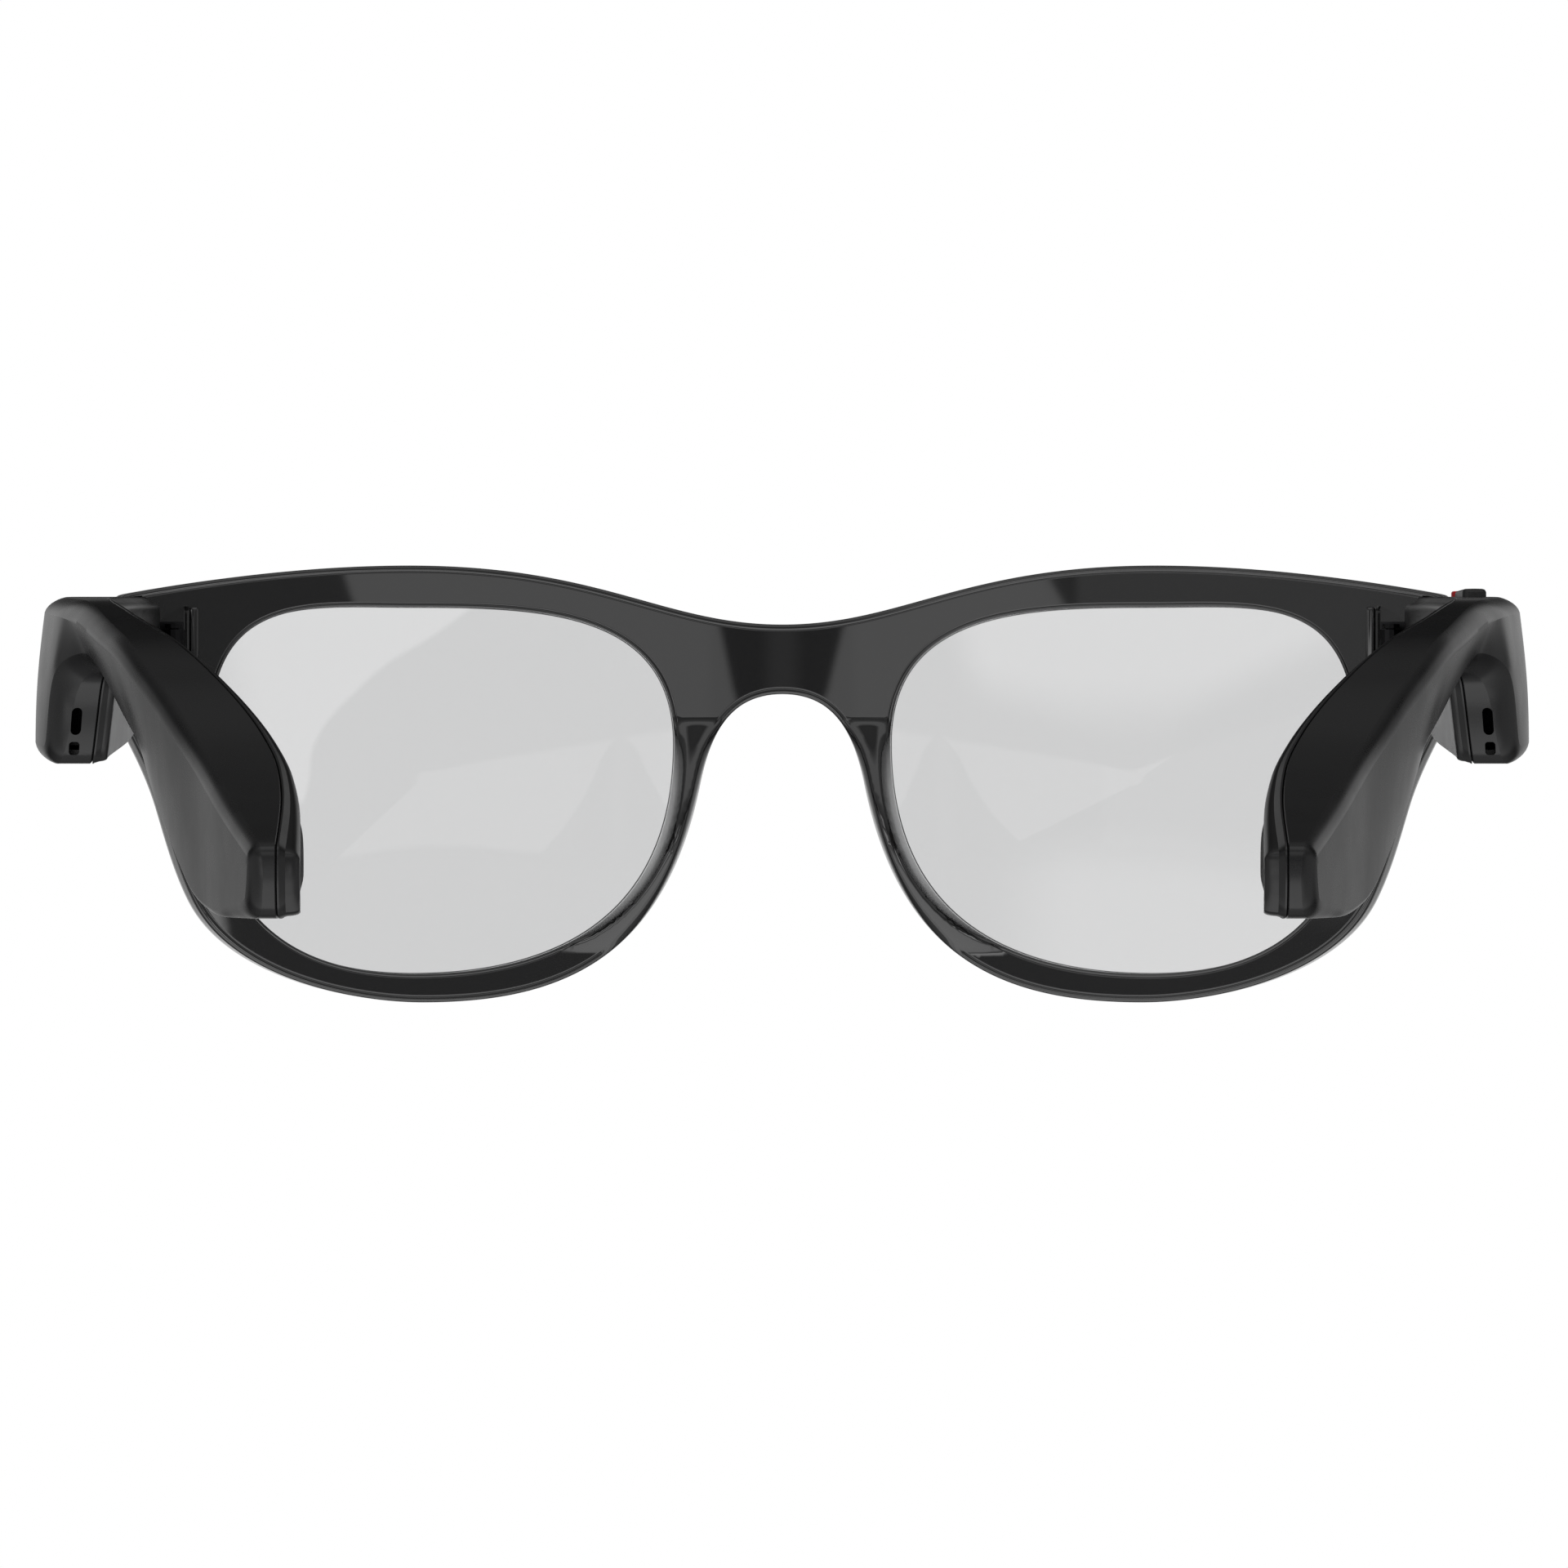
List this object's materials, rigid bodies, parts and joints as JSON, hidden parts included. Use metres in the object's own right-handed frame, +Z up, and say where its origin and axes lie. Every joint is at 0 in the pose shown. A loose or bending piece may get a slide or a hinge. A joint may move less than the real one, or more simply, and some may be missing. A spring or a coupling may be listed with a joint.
{
  "type": "smart glasses",
  "caption": "Audio smart glasses: a dark front with clear lenses and deep folding temples that hold the electronics, with a red button and a rocker on the right temple.",
  "frame": {"origin": "centre of the bounding box at its lowest level, with the glasses open and standing on the rims and the temple tips", "axes": "+X towards the wearer's left temple, +Y from the front towards the ears, +Z up"},
  "size_m": [0.1508, 0.1642, 0.0475],
  "materials": {
    "front_frame": "fine grained satin black",
    "lens": "clear, coated",
    "hinge_steel": "dark plated steel",
    "temple_shell": "smooth satin black",
    "inner_cover": "smooth satin black",
    "tip_pad": "grained soft black",
    "contact": "gold plated",
    "magnet": "nickel plated",
    "circuit_board": "solder mask",
    "battery": "foil pouch",
    "flex_film": "polyimide film",
    "gasket": "soft black",
    "fine_mesh": "black woven mesh",
    "small_part": "moulded",
    "red_button": "satin red",
    "volume_rocker": "satin black"
  },
  "bodies": {
    "front": {"front_frame": "front_frame", "left_lens": "lens", "left_frame_hinge_leaf": "hinge_steel", "left_frame_leaf_screw_1": "hinge_steel", "left_frame_leaf_screw_2": "hinge_steel", "left_pivot_screw": "hinge_steel", "right_lens": "lens", "right_frame_hinge_leaf": "hinge_steel", "right_frame_leaf_screw_1": "hinge_steel", "right_frame_leaf_screw_2": "hinge_steel", "right_pivot_screw": "hinge_steel"},
    "left_temple": {"left_temple_shell": "temple_shell", "left_inner_cover": "inner_cover", "left_temple_hinge_leaf": "hinge_steel", "left_temple_leaf_screw_1": "hinge_steel", "left_temple_leaf_screw_2": "hinge_steel", "left_tip_pad": "tip_pad", "left_charge_contact_1": "contact", "left_charge_contact_2": "contact", "left_charge_magnet_1": "magnet", "left_charge_magnet_2": "magnet", "left_circuit_board": "circuit_board", "left_battery": "battery", "left_antenna": "flex_film", "left_speaker": "small_part", "left_speaker_duct": "gasket", "left_speaker_mesh": "fine_mesh", "left_microphone": "small_part", "left_flex_ribbon": "flex_film", "left_tip_battery": "battery"},
    "right_temple": {"right_temple_shell": "temple_shell", "right_inner_cover": "inner_cover", "right_temple_hinge_leaf": "hinge_steel", "right_temple_leaf_screw_1": "hinge_steel", "right_temple_leaf_screw_2": "hinge_steel", "right_tip_pad": "tip_pad", "right_charge_contact_1": "contact", "right_charge_contact_2": "contact", "right_charge_magnet_1": "magnet", "right_charge_magnet_2": "magnet", "right_circuit_board": "circuit_board", "right_battery": "battery", "right_antenna": "flex_film", "right_speaker": "small_part", "right_speaker_duct": "gasket", "right_speaker_mesh": "fine_mesh", "right_microphone": "small_part", "right_flex_ribbon": "flex_film", "right_tip_battery": "battery", "right_switch_board": "circuit_board", "function_switch": "small_part", "volume_switch_1": "small_part", "volume_switch_2": "small_part"},
    "function_button": {"function_button": "red_button"},
    "volume_rocker": {"volume_rocker": "volume_rocker"}
  },
  "joints": [
    {"name": "left_temple_fold", "type": "hinge", "parent": "front", "child": "left_temple", "pos_m": [0.0655, -0.06543, 0.03529], "axis": [0, 0.0737, 0.9973], "range_deg": [0, 80.5]},
    {"name": "right_temple_fold", "type": "hinge", "parent": "front", "child": "right_temple", "pos_m": [-0.0655, -0.06543, 0.03529], "axis": [0, -0.0737, -0.9973], "range_deg": [0, 60]},
    {"name": "function_button_press", "type": "slide", "parent": "right_temple", "child": "function_button", "axis": [0, -0.0737, -0.9973], "range_m": [0, 0.0004], "stiffness_N_per_m": 3000},
    {"name": "volume_rocker_tilt", "type": "hinge", "parent": "right_temple", "child": "volume_rocker", "pos_m": [-0.071, -0.02394, 0.03644], "axis": [1, 0, 0], "range_deg": [-2.5, 2.5], "stiffness_Nm_per_rad": 0.1}
  ]
}
